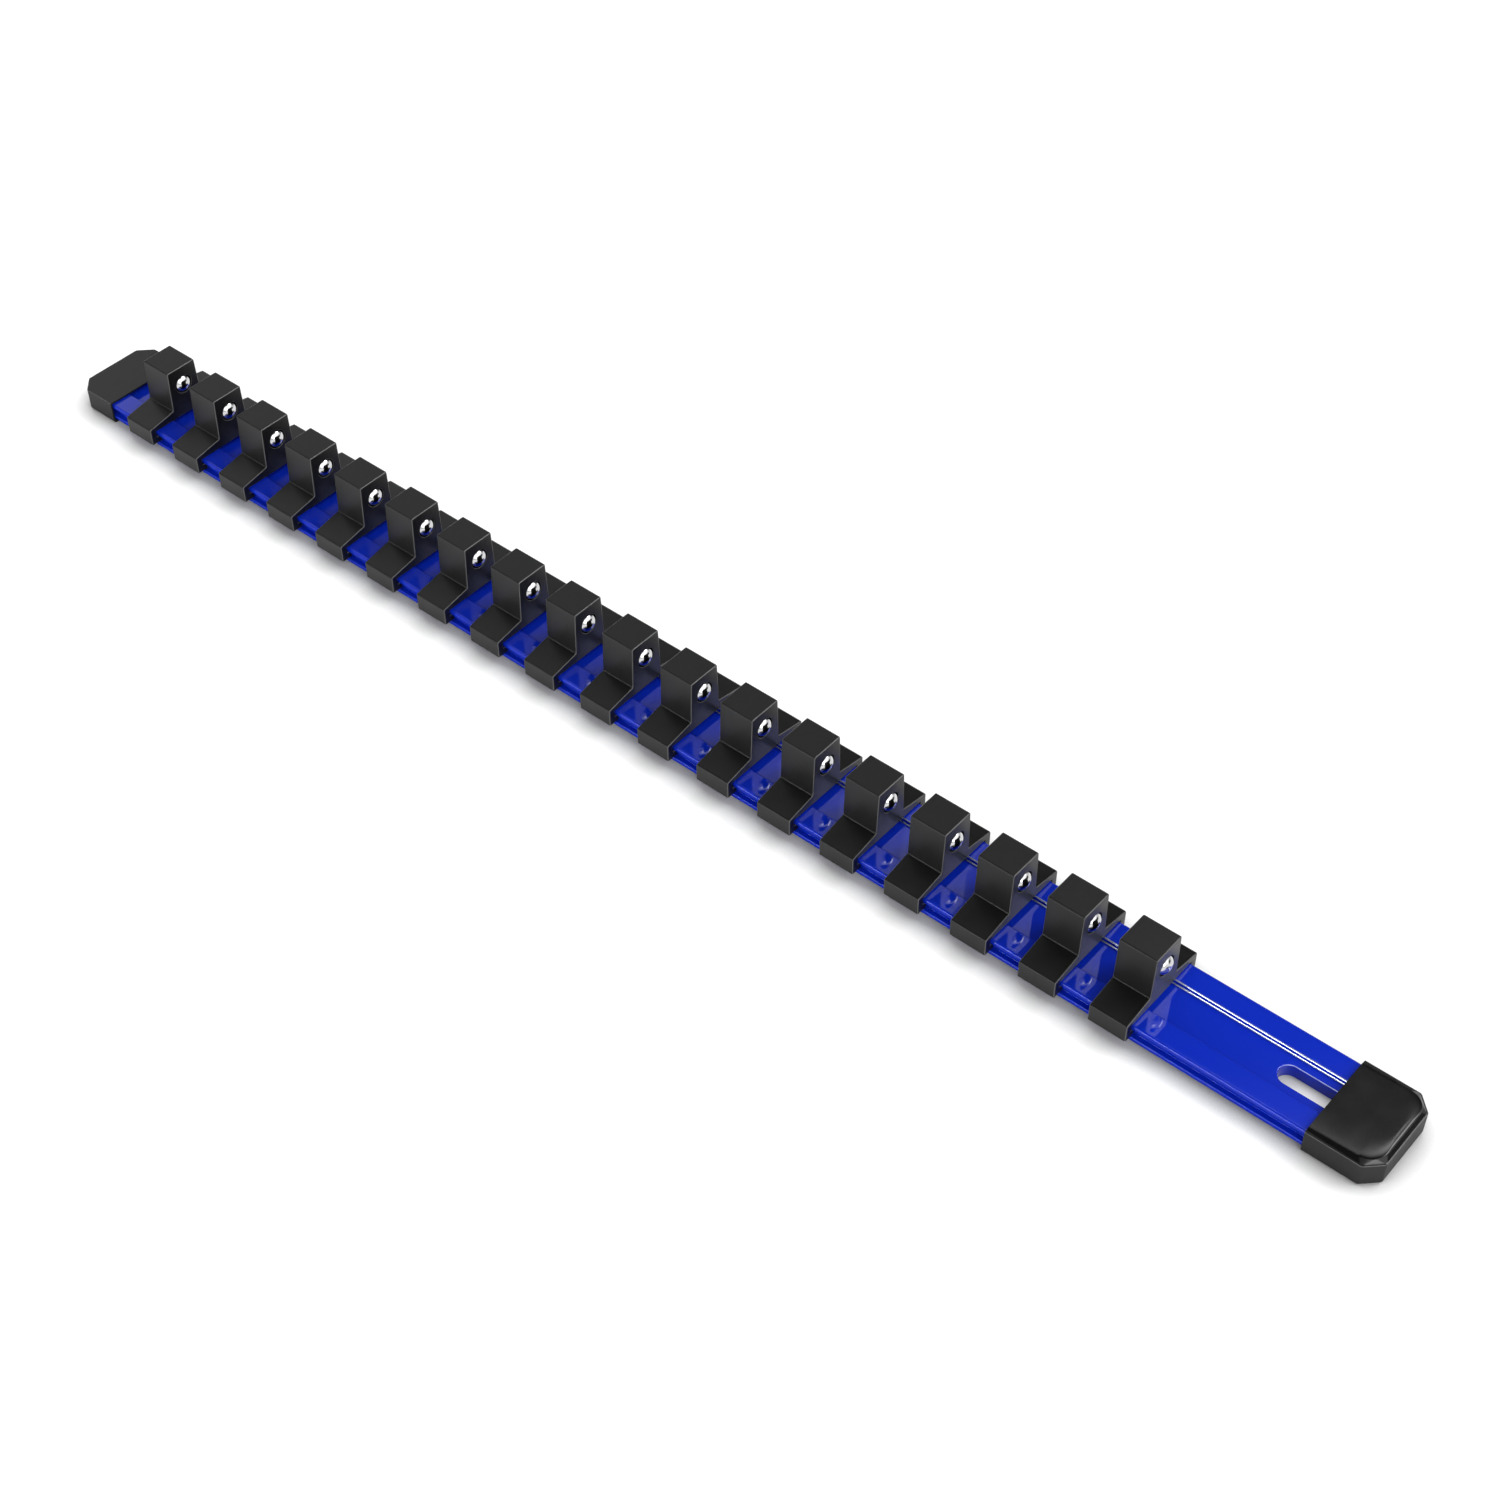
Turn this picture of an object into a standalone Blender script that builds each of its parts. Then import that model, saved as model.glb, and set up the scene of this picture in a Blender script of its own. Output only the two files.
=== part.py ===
"""Socket rail: an extruded aluminium rail that carries eighteen sliding clips.

Each clip has a square post for a half-inch drive socket, held on by a sprung steel ball.
A moulded cap is pushed onto each end of the rail, and the whole thing stands on the two caps.

X runs along the rail, towards the end with the hanging slot. Y runs across it and Z is up.
The origin is at the middle of the object, on the surface that it stands on.
"""

import math

import bmesh
import bpy
from mathutils import Vector

# Rail section
RAIL_WIDTH = 0.0284
FLANGE_THICKNESS = 0.0015
GROOVE_HEIGHT = 0.0031
GROOVE_DEPTH = 0.0017
CHANNEL_WIDTH = 0.0130
CHANNEL_DEPTH = 0.0016
LAND_EDGE_RADIUS = 0.0007
FLANGE_EDGE_RADIUS = 0.0004
CHANNEL_EDGE_RADIUS = 0.0003

# Hanging slot, near the rail's right end
SLOT_LENGTH = 0.0240
SLOT_WIDTH = 0.0066
SLOT_TO_RAIL_END = 0.0089

# Row of clips
CLIP_COUNT = 18
CLIP_PITCH = 0.0232
LEFT_END_TO_FIRST_CLIP = 0.0290
LAST_CLIP_TO_RIGHT_END = 0.0759

# Clip
CLIP_LENGTH = 0.01226
POST_TOP_WIDTH = 0.0116
POST_FOOT_WIDTH = 0.0127
POST_HEIGHT = 0.0150
POST_EDGE_RADIUS = 0.0005
POST_FOOT_RADIUS = 0.0004
WING_ROOT_THICKNESS = 0.0036
WING_TIP_THICKNESS = 0.00165
WING_EDGE_RADIUS = 0.0006
LEG_THICKNESS = 0.00245
LEG_EDGE_RADIUS = 0.0004

# Sprung ball in the post
BALL_DIAMETER = 0.0070
BALL_PROTRUSION = 0.0013
BALL_HEIGHT_OVER_RAIL = 0.01185
BORE_LIP = 0.0004
BORE_COUNTERSINK = 0.0002
BORE_END_WALL = 0.0015
SPRING_DIAMETER = 0.0050
SPRING_WIRE = 0.0006
SPRING_COIL_GAP = 0.00048

# End caps
CAP_SIDE_WALL = 0.0006
CAP_END_WALL = 0.0013
CAP_FLOOR = 0.0010
CAP_ROOF = 0.0006
CAP_EDGE_CHAMFER = 0.0003
CAP_CORNER_CHAMFER = 0.0046
CAP_FOOT_CHAMFER = 0.0012
LEFT_CAP_GRIP = 0.0120
RIGHT_CAP_GRIP = 0.0164

# Crown on the right cap's roof, which rises from the mouth towards the outer end
CROWN_RIM_HEIGHT = 0.0011
CROWN_HEIGHT = 0.0017
CROWN_SIDE_INSET = 0.0016
CROWN_END_INSET = 0.0013
CROWN_DOME_INSET = 0.0026
CROWN_CORNER_RADIUS = 0.0058
CROWN_MOUTH_SHARE = 0.25

# Fits: the gap kept between pieces that touch, and how far cutters overrun
CLEARANCE = 0.0003
CUT_OVERRUN = 0.0010

# Facets
ARC_STEPS = 3
SLOT_END_STEPS = 10
BORE_SIDES = 16
BALL_SEGMENTS = 12
BALL_RINGS = 8
SPRING_STEPS_PER_TURN = 8
SPRING_SIDES = 4
CAP_CORNER_STEPS = 6

# Sizes and places that follow from the ones above
CLIP_ROW_LENGTH = (CLIP_COUNT - 1) * CLIP_PITCH
RAIL_LENGTH = LEFT_END_TO_FIRST_CLIP + CLIP_ROW_LENGTH + LAST_CLIP_TO_RIGHT_END
RAIL_HEIGHT = 2 * FLANGE_THICKNESS + GROOVE_HEIGHT
RAIL_LEFT = -RAIL_LENGTH / 2
RAIL_RIGHT = RAIL_LENGTH / 2
RAIL_BOTTOM = CAP_FLOOR + CLEARANCE
RAIL_TOP = RAIL_BOTTOM + RAIL_HEIGHT
GROOVE_BOTTOM = RAIL_BOTTOM + FLANGE_THICKNESS
GROOVE_TOP = GROOVE_BOTTOM + GROOVE_HEIGHT
FIRST_CLIP_X = RAIL_LEFT + LEFT_END_TO_FIRST_CLIP

CLIP_SEAT = RAIL_TOP + CLEARANCE
WING_ROOT_TOP = CLIP_SEAT + WING_ROOT_THICKNESS
POST_TOP = WING_ROOT_TOP + POST_HEIGHT
CLIP_FACE = CLIP_LENGTH / 2

BALL_RADIUS = BALL_DIAMETER / 2
BALL_Z = RAIL_TOP + BALL_HEIGHT_OVER_RAIL
BALL_X = CLIP_FACE + BALL_PROTRUSION - BALL_RADIUS
BORE_RADIUS = BALL_RADIUS + CLEARANCE
BORE_END_X = -CLIP_FACE + BORE_END_WALL

CAP_HALF_WIDTH = RAIL_WIDTH / 2 + CLEARANCE + CAP_SIDE_WALL
CAP_POCKET_BOTTOM = CAP_FLOOR
CAP_POCKET_TOP = RAIL_TOP + CLEARANCE
CAP_ROOF_TOP = CAP_POCKET_TOP + CAP_ROOF


def clear_scene():
    for old in list(bpy.data.objects):
        bpy.data.objects.remove(old, do_unlink=True)


def material(name, colour, roughness, metallic):
    made = bpy.data.materials.new(name)
    made.use_nodes = True
    shader = made.node_tree.nodes["Principled BSDF"]
    shader.inputs["Base Color"].default_value = (*colour, 1.0)
    shader.inputs["Roughness"].default_value = roughness
    shader.inputs["Metallic"].default_value = metallic
    return made


def mesh_from(name, shape):
    """Turns a finished bmesh into a mesh with its faces outwards."""
    bmesh.ops.recalc_face_normals(shape, faces=shape.faces)
    mesh = bpy.data.meshes.new(name)
    shape.to_mesh(mesh)
    shape.free()
    return mesh


def add_object(name, mesh, location=(0, 0, 0), parent=None):
    made = bpy.data.objects.new(name, mesh)
    made.location = location
    made.parent = parent
    bpy.context.scene.collection.objects.link(made)
    return made


def shade_round(mesh):
    mesh.shade_smooth()
    mesh.set_sharp_from_angle(angle=math.radians(35))


def rounded_outline(corners):
    """Gives an outline's points, with an arc at each corner whose radius isn't zero.

    A corner is (first, second, radius), and an arc touches both of the corner's edges.
    """
    points = []
    for index, (first, second, radius) in enumerate(corners):
        here = Vector((first, second))
        if not radius:
            points.append(here)
            continue
        before = (Vector(corners[index - 1][:2]) - here).normalized()
        after = (Vector(corners[(index + 1) % len(corners)][:2]) - here).normalized()
        half_angle = before.angle(after) / 2
        centre = here + (before + after).normalized() * radius / math.sin(half_angle)
        start = here + before * radius / math.tan(half_angle) - centre
        turn = math.pi - 2 * half_angle
        if before.x * after.y - before.y * after.x > 0:
            turn = -turn
        for step in range(ARC_STEPS + 1):
            angle = turn * step / ARC_STEPS
            cosine = math.cos(angle)
            sine = math.sin(angle)
            points.append(centre + Vector((
                start.x * cosine - start.y * sine,
                start.x * sine + start.y * cosine,
            )))
    return points


def mirrored(corners):
    """Completes a section that is given for +Y, from its top down to its underside."""
    other_side = [(-first, second, radius) for first, second, radius in reversed(corners)]
    return corners + other_side


def extrude_face(shape, face, direction):
    grown = bmesh.ops.extrude_face_region(shape, geom=[face])
    moved = [part for part in grown["geom"] if isinstance(part, bmesh.types.BMVert)]
    bmesh.ops.translate(shape, verts=moved, vec=direction)


def section_along_x(name, outline, start, length):
    """Extrudes a (y, z) outline along X."""
    shape = bmesh.new()
    ends = [shape.verts.new((start, point.x, point.y)) for point in outline]
    face = shape.faces.new(ends)
    extrude_face(shape, face, Vector((length, 0, 0)))
    return mesh_from(name, shape)


def plan_up_z(name, outline, bottom, top):
    """Extrudes an (x, y) outline up from one height to another."""
    shape = bmesh.new()
    base = [shape.verts.new((point[0], point[1], bottom)) for point in outline]
    face = shape.faces.new(base)
    extrude_face(shape, face, Vector((0, 0, top - bottom)))
    return mesh_from(name, shape)


def turned_along_x(name, profile, sides):
    """Turns a profile of (x, radius) points about X; it starts and ends on the axis."""
    shape = bmesh.new()
    rings = []
    for along, radius in profile:
        if not radius:
            rings.append([shape.verts.new((along, 0, 0))])
            continue
        ring = []
        for side in range(sides):
            angle = math.tau * (side + 0.5) / sides
            ring.append(shape.verts.new((along, radius * math.cos(angle), radius * math.sin(angle))))
        rings.append(ring)
    for near, far in zip(rings, rings[1:]):
        for side in range(sides):
            corners = []
            for ring, index in ((near, side), (near, side + 1), (far, side + 1), (far, side)):
                vertex = ring[index % len(ring)]
                if vertex not in corners:
                    corners.append(vertex)
            shape.faces.new(corners)
    return mesh_from(name, shape)


def cut(name, body, cutter):
    """Cuts one mesh out of another and gives the result as a new mesh."""
    solid = add_object(name + "_blank", body)
    tool = add_object(name + "_cutter", cutter)
    boolean = solid.modifiers.new("cut", "BOOLEAN")
    boolean.operation = "DIFFERENCE"
    boolean.solver = "EXACT"
    boolean.object = tool
    scene_state = bpy.context.evaluated_depsgraph_get()
    result = bpy.data.meshes.new_from_object(solid.evaluated_get(scene_state))
    result.name = name
    bpy.data.objects.remove(solid, do_unlink=True)
    bpy.data.objects.remove(tool, do_unlink=True)
    return result


def rail_outline():
    """The rail's section: two lands beside a shallow channel, and a groove down each side."""
    edge = RAIL_WIDTH / 2
    web = edge - GROOVE_DEPTH
    channel = CHANNEL_WIDTH / 2
    channel_floor = RAIL_TOP - CHANNEL_DEPTH
    half = [
        (channel, channel_floor, CHANNEL_EDGE_RADIUS),
        (channel, RAIL_TOP, CHANNEL_EDGE_RADIUS),
        (edge, RAIL_TOP, LAND_EDGE_RADIUS),
        (edge, GROOVE_TOP, 0),
        (web, GROOVE_TOP, 0),
        (web, GROOVE_BOTTOM, 0),
        (edge, GROOVE_BOTTOM, FLANGE_EDGE_RADIUS),
        (edge, RAIL_BOTTOM, FLANGE_EDGE_RADIUS),
    ]
    return rounded_outline(mirrored(half))


def slot_outline():
    """A long hole with round ends, in plan."""
    radius = SLOT_WIDTH / 2
    right = RAIL_RIGHT - SLOT_TO_RAIL_END - radius
    left = right - SLOT_LENGTH + SLOT_WIDTH
    points = []
    for centre, first_angle in ((right, -math.pi / 2), (left, math.pi / 2)):
        for step in range(SLOT_END_STEPS + 1):
            angle = first_angle + math.pi * step / SLOT_END_STEPS
            points.append((centre + radius * math.cos(angle), radius * math.sin(angle)))
    return points


def make_rail(finish):
    bar = section_along_x("rail_bar", rail_outline(), RAIL_LEFT, RAIL_LENGTH)
    slot = plan_up_z("slot", slot_outline(), RAIL_BOTTOM - CUT_OVERRUN, RAIL_TOP + CUT_OVERRUN)
    mesh = cut("rail", bar, slot)
    mesh.materials.append(finish)
    shade_round(mesh)
    return add_object("rail", mesh)


def clip_outline():
    """The clip's section: a square post on two wings, with legs that hook into the grooves."""
    leg_inner = RAIL_WIDTH / 2 + CLEARANCE
    leg_outer = leg_inner + LEG_THICKNESS
    hook_inner = RAIL_WIDTH / 2 - GROOVE_DEPTH + CLEARANCE
    half = [
        (POST_TOP_WIDTH / 2, POST_TOP, POST_EDGE_RADIUS),
        (POST_FOOT_WIDTH / 2, WING_ROOT_TOP, POST_FOOT_RADIUS),
        (leg_outer, CLIP_SEAT + WING_TIP_THICKNESS, WING_EDGE_RADIUS),
        (leg_outer, GROOVE_BOTTOM + CLEARANCE, LEG_EDGE_RADIUS),
        (hook_inner, GROOVE_BOTTOM + CLEARANCE, 0),
        (hook_inner, GROOVE_TOP - CLEARANCE, 0),
        (leg_inner, GROOVE_TOP - CLEARANCE, 0),
        (leg_inner, CLIP_SEAT, 0),
    ]
    return rounded_outline(mirrored(half))


def bore_lip_radius():
    """The lip lets the ball's cap through and stops the ball itself."""
    lip_depth = BALL_RADIUS - BALL_PROTRUSION - BORE_LIP
    return math.sqrt(BALL_RADIUS ** 2 - lip_depth ** 2) + CLEARANCE


def make_clip_mesh(finish):
    block = section_along_x("clip_block", clip_outline(), -CLIP_FACE, CLIP_LENGTH)
    lip_radius = bore_lip_radius()
    bore_profile = [
        (CLIP_FACE + CUT_OVERRUN, 0),
        (CLIP_FACE + CUT_OVERRUN, lip_radius + BORE_COUNTERSINK + CUT_OVERRUN),
        (CLIP_FACE - BORE_COUNTERSINK, lip_radius),
        (CLIP_FACE - BORE_LIP, lip_radius),
        (CLIP_FACE - BORE_LIP, BORE_RADIUS),
        (BORE_END_X, BORE_RADIUS),
        (BORE_END_X, 0),
    ]
    bore = turned_along_x("ball_bore", bore_profile, BORE_SIDES)
    for vertex in bore.vertices:
        vertex.co.z += BALL_Z
    mesh = cut("clip", block, bore)
    mesh.materials.append(finish)
    shade_round(mesh)
    return mesh


def make_ball_mesh(finish):
    """A steel ball, turned about X so that its finest facets face out of the bore."""
    profile = []
    for ring in range(BALL_RINGS + 1):
        angle = math.pi * ring / BALL_RINGS
        on_axis = ring in (0, BALL_RINGS)
        profile.append((
            BALL_RADIUS * math.cos(angle),
            0 if on_axis else BALL_RADIUS * math.sin(angle),
        ))
    mesh = turned_along_x("ball", profile, BALL_SEGMENTS)
    mesh.materials.append(finish)
    mesh.shade_smooth()
    return mesh


def gap_between_turns(centres):
    """The least clear distance between points of the wire that lie half a turn or more apart."""
    half_turn = SPRING_STEPS_PER_TURN // 2
    distances = []
    for index, centre in enumerate(centres):
        distances += [(centre - other).length for other in centres[index + half_turn:]]
    return min(distances) - SPRING_WIRE


def make_spring_mesh(finish):
    """A compression spring that fills the bore behind the ball, from x = 0 towards the ball."""
    length = BALL_X - BALL_RADIUS - BORE_END_X - 2 * CLEARANCE
    coil_pitch = SPRING_WIRE + SPRING_COIL_GAP
    turns = (length - SPRING_WIRE) / coil_pitch
    steps = max(1, round(turns * SPRING_STEPS_PER_TURN))
    coil_radius = (SPRING_DIAMETER - SPRING_WIRE) / 2
    wire_radius = SPRING_WIRE / 2
    shape = bmesh.new()
    rings = []
    centres = []
    for step in range(steps + 1):
        angle = math.tau * turns * step / steps
        outward = Vector((0, math.cos(angle), math.sin(angle)))
        along = Vector((1, 0, 0))
        centre = outward * coil_radius + along * (wire_radius + (length - SPRING_WIRE) * step / steps)
        centres.append(centre)
        ring = []
        for side in range(SPRING_SIDES):
            turn = math.tau * side / SPRING_SIDES
            offset = outward * math.cos(turn) + along * math.sin(turn)
            ring.append(shape.verts.new(centre + offset * wire_radius))
        rings.append(ring)
    for near, far in zip(rings, rings[1:]):
        for side in range(SPRING_SIDES):
            following = (side + 1) % SPRING_SIDES
            shape.faces.new((near[side], near[following], far[following], far[side]))
    shape.faces.new(rings[0])
    shape.faces.new(rings[-1])
    print(f"spring: {turns:.2f} turns, least gap between turns {gap_between_turns(centres):.5f} m")
    mesh = mesh_from("spring", shape)
    mesh.materials.append(finish)
    mesh.shade_smooth()
    return mesh


def cap_plan(end_x, half_width, corner, is_round):
    """One level of a cap in plan, from the mouth at x = 0 round the outer end and back.

    An outer corner is a straight chamfer or a quarter circle of the same size.
    """
    side = []
    for step in range(CAP_CORNER_STEPS + 1):
        share = step / CAP_CORNER_STEPS
        angle = math.pi / 2 * share
        along = math.sin(angle) if is_round else share
        across = 1 - math.cos(angle) if is_round else share
        side.append((end_x - corner + corner * along, half_width - corner * across))
    near = [(0, half_width)] + side
    far = [(first, -second) for first, second in reversed(near)]
    return near + far


def cap_body_levels(end_x):
    """A cap's level rings from its foot to its roof, as lists of points."""
    foot_shares = ((0, 1), (0.3, 0.35), (1, 0))
    levels = [(CAP_FOOT_CHAMFER * up, CAP_FOOT_CHAMFER * inward) for up, inward in foot_shares]
    levels.append((CAP_ROOF_TOP - CAP_EDGE_CHAMFER, 0))
    levels.append((CAP_ROOF_TOP, CAP_EDGE_CHAMFER))
    rings = []
    for height, inset in levels:
        outline = cap_plan(end_x - inset, CAP_HALF_WIDTH - inset, CAP_CORNER_CHAMFER, False)
        rings.append([(first, second, height) for first, second in outline])
    return rings


def crown_levels(end_x):
    """The crown's rings: a round-cornered rim and the shallow dome inside it."""
    dome_shares = ((0, 0), (0.55, 0.2), (0.85, 0.5), (1, 1))
    rings = []
    for rise_share, inset_share in dome_shares:
        rise = CROWN_RIM_HEIGHT + (CROWN_HEIGHT - CROWN_RIM_HEIGHT) * rise_share
        inset = CROWN_DOME_INSET * inset_share
        outline = cap_plan(
            end_x - CROWN_END_INSET - inset,
            CAP_HALF_WIDTH - CROWN_SIDE_INSET - inset,
            CROWN_CORNER_RADIUS - inset / 2,
            True,
        )
        ring = []
        for first, second in outline:
            rise_here = rise * (CROWN_MOUTH_SHARE + (1 - CROWN_MOUTH_SHARE) * first / end_x)
            ring.append((first, second, CAP_ROOF_TOP + rise_here))
        rings.append(ring)
    return rings


def cap_length(grip):
    """How long a cap is: its grip on the rail, and the reach that clears the rail's corners."""
    corner_gap = (CAP_SIDE_WALL + CLEARANCE) * math.sqrt(2)
    corner_reach = RAIL_WIDTH / 2 + CAP_CORNER_CHAMFER - CAP_HALF_WIDTH + corner_gap
    return grip + max(corner_reach, CAP_END_WALL + CLEARANCE)


def stacked_rings(name, levels):
    """A closed mesh through rings of points that all have the same count."""
    shape = bmesh.new()
    rings = [[shape.verts.new(point) for point in level] for level in levels]
    count = len(rings[0])
    for lower, upper in zip(rings, rings[1:]):
        for index in range(count):
            following = (index + 1) % count
            shape.faces.new((lower[index], lower[following], upper[following], upper[index]))
    shape.faces.new(rings[0])
    shape.faces.new(rings[-1])
    return mesh_from(name, shape)


def make_cap_mesh(name, grip, has_crown, finish):
    """A cap whose mouth is at x = 0 and whose closed end points along +X."""
    end_x = cap_length(grip)
    levels = cap_body_levels(end_x)
    if has_crown:
        levels += crown_levels(end_x)
    body = stacked_rings(name + "_body", levels)

    pocket_end = end_x - CAP_END_WALL
    pocket_half = CAP_HALF_WIDTH - CAP_SIDE_WALL
    wall_at_chamfer = CAP_SIDE_WALL * math.sqrt(2)
    pocket_corner = CAP_CORNER_CHAMFER + wall_at_chamfer - CAP_SIDE_WALL - CAP_END_WALL
    outline = [
        (-CUT_OVERRUN, pocket_half),
        (pocket_end - pocket_corner, pocket_half),
        (pocket_end, pocket_half - pocket_corner),
        (pocket_end, pocket_corner - pocket_half),
        (pocket_end - pocket_corner, -pocket_half),
        (-CUT_OVERRUN, -pocket_half),
    ]
    pocket = plan_up_z(name + "_pocket", outline, CAP_POCKET_BOTTOM, CAP_POCKET_TOP)
    mesh = cut(name, body, pocket)
    mesh.materials.append(finish)
    shade_round(mesh)
    return mesh


def make_caps(finish):
    right = make_cap_mesh("right_end_cap", RIGHT_CAP_GRIP, True, finish)
    add_object("right_end_cap", right, (RAIL_RIGHT - RIGHT_CAP_GRIP, 0, 0))
    left = make_cap_mesh("left_end_cap", LEFT_CAP_GRIP, False, finish)
    turned = add_object("left_end_cap", left, (RAIL_LEFT + LEFT_CAP_GRIP, 0, 0))
    turned.rotation_euler = (0, 0, math.pi)


def make_clips(plastic, ball_steel, spring_steel):
    """One clip at each place in the row, with its ball and the spring behind it."""
    clip_mesh = make_clip_mesh(plastic)
    ball_mesh = make_ball_mesh(ball_steel)
    spring_mesh = make_spring_mesh(spring_steel)
    for index in range(CLIP_COUNT):
        number = f"{index + 1:02d}"
        clip_x = FIRST_CLIP_X + index * CLIP_PITCH
        clip = add_object("clip_" + number, clip_mesh, (clip_x, 0, 0))
        add_object("ball_" + number, ball_mesh, (BALL_X, 0, BALL_Z), clip)
        add_object("spring_" + number, spring_mesh, (BORE_END_X + CLEARANCE, 0, BALL_Z), clip)


def main():
    clear_scene()
    blue_anodised = material("blue_anodised_aluminium", (0.012, 0.030, 0.42), 0.16, 0.85)
    black_plastic = material("black_plastic", (0.028, 0.028, 0.028), 0.42, 0.0)
    black_cap = material("black_cap_plastic", (0.026, 0.026, 0.027), 0.33, 0.0)
    chrome_steel = material("chrome_steel", (0.86, 0.86, 0.87), 0.05, 1.0)
    spring_wire = material("spring_wire", (0.55, 0.55, 0.56), 0.30, 1.0)
    make_rail(blue_anodised)
    make_caps(black_cap)
    make_clips(black_plastic, chrome_steel, spring_wire)


main()
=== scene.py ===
import math

import bmesh
import bpy
from mathutils import Matrix, Vector


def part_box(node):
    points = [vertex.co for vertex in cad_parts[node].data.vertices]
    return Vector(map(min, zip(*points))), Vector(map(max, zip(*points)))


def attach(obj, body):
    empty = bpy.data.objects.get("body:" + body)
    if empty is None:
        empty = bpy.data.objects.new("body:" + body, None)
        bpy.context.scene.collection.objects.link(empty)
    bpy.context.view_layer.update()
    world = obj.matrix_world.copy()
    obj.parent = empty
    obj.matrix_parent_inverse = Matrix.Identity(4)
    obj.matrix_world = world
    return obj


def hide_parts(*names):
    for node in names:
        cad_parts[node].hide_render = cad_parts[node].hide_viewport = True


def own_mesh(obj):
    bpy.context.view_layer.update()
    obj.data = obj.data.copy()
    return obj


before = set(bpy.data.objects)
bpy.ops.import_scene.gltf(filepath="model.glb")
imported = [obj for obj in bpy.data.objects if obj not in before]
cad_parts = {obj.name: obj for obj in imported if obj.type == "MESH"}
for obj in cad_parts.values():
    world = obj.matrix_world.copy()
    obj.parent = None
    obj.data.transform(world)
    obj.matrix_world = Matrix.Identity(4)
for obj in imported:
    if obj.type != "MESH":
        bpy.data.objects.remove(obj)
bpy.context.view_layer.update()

# Rail section, as in the frame
RAIL_LOW, RAIL_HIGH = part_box("rail")
RAIL_HALF_WIDTH = RAIL_HIGH.y
RAIL_BOTTOM = RAIL_LOW.z
RAIL_TOP = RAIL_HIGH.z
FLANGE_THICKNESS = 0.0015
GROOVE_DEPTH = 0.0017
GROOVE_TOP = RAIL_TOP - FLANGE_THICKNESS
CHANNEL_WIDTH = 0.0130
CHANNEL_DEPTH = 0.0016
CHANNEL_FLOOR = RAIL_TOP - CHANNEL_DEPTH
LAND_EDGE_RADIUS = 0.0007
FLANGE_EDGE_RADIUS = 0.0004
CHANNEL_EDGE_RADIUS = 0.0005
RAIL_FINE_RADIUS = 0.00012

# Hanging slot
SLOT_LENGTH = 0.0240
SLOT_WIDTH = 0.0066
SLOT_TO_RAIL_END = 0.0089
SLOT_RIM_RADIUS = 0.0003

# Clip
CLIP_COUNT = 18
CLIP_LOW, CLIP_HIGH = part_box("clip_01")
CLIP_LENGTH = CLIP_HIGH.x - CLIP_LOW.x
CLIP_FACE = CLIP_LENGTH / 2
CLIP_HALF_WIDTH = CLIP_HIGH.y
POST_TOP = CLIP_HIGH.z
POST_TOP_WIDTH = 0.0116
POST_FOOT_WIDTH = 0.0127
POST_EDGE_RADIUS = 0.0005
POST_FOOT_RADIUS = 0.0004
WING_ROOT_THICKNESS = 0.0036
WING_TIP_THICKNESS = 0.00165
WING_EDGE_RADIUS = 0.0006
LEG_THICKNESS = 0.00245
LEG_EDGE_RADIUS = 0.0004
CLIP_FACE_RADIUS = 0.00042
CLEARANCE = 0.0003
SEAT = RAIL_TOP + CLEARANCE

# Sprung ball
BALL_LOW, BALL_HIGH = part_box("ball_01")
BALL_RADIUS = (BALL_HIGH.x - BALL_LOW.x) / 2
BALL_Z = (BALL_HIGH.z + BALL_LOW.z) / 2
BALL_PROTRUSION = BALL_HIGH.x - CLIP_HIGH.x
BALL_X = CLIP_FACE + BALL_PROTRUSION - BALL_RADIUS
BORE_LIP = 0.0004
BORE_RIM_RADIUS = 0.0002
BORE_END_WALL = 0.0015
BORE_END_X = BORE_END_WALL - CLIP_FACE
SPRING_DIAMETER = 0.0050
SPRING_WIRE = 0.0006
SPRING_COIL_GAP = 0.00048
SPRING_LENGTH = BALL_X - BALL_RADIUS - BORE_END_X - 2 * CLEARANCE

# End caps
CAP_HALF_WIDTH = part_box("right_end_cap")[1].y
CAP_SIDE_WALL = 0.0006
CAP_END_WALL = 0.0013
CAP_FLOOR = 0.0010
CAP_ROOF = 0.0006
CAP_TOP = SEAT + CAP_ROOF
CAP_CORNER_CHAMFER = 0.0046
CAP_FOOT_RADIUS = 0.0012
CAP_CREASE_RADIUS = 0.0003
CAP_CHAMFER_END_RADIUS = 0.0014

# The right cap's crown: its rim, its dome inside the rim, and how much of it stands at the mouth
CROWN_RIM_HEIGHT = 0.0011
CROWN_HEIGHT = 0.0017
CROWN_SIDE_INSET = 0.0016
CROWN_END_INSET = 0.0013
CROWN_DOME_SIDE_INSET = 0.0090
CROWN_DOME_END_INSET = 0.0016
CROWN_CORNER_RADIUS = 0.0058
CROWN_MOUTH_SHARE = 0.25

# A corner chamfer as a share of the arc that meets it, and what it loses for a metre of inset
CHAMFER_TO_RADIUS_SHARE = 0.586
CHAMFER_TO_INSET_SHARE = 2 - math.sqrt(2)

# Facets of the shown pieces
ARC_STEPS = 8
RAIL_FINE_STEPS = 3
SLOT_RIM_STEPS = 4
SLOT_END_STEPS = 32
CLIP_FACE_STEPS = 4
BORE_SIDES = 64
BALL_SIDES = 64
BALL_RINGS = 32
SPRING_STEPS_PER_TURN = 24
SPRING_SIDES = 10
CROWN_STEPS = 10
FLOOR_STEPS = 8

# Tests on edges, the bevels' profile, and how far the cutters reach past what they cut
X_AXIS = 0
Z_AXIS = 2
SHARP_ANGLE = math.radians(50)
SAME_PLACE = 1e-6
ALONG_X_COSINE = 0.999
ROUND_PROFILE = 0.5
CUT_OVERRUN = 0.0010

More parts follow.
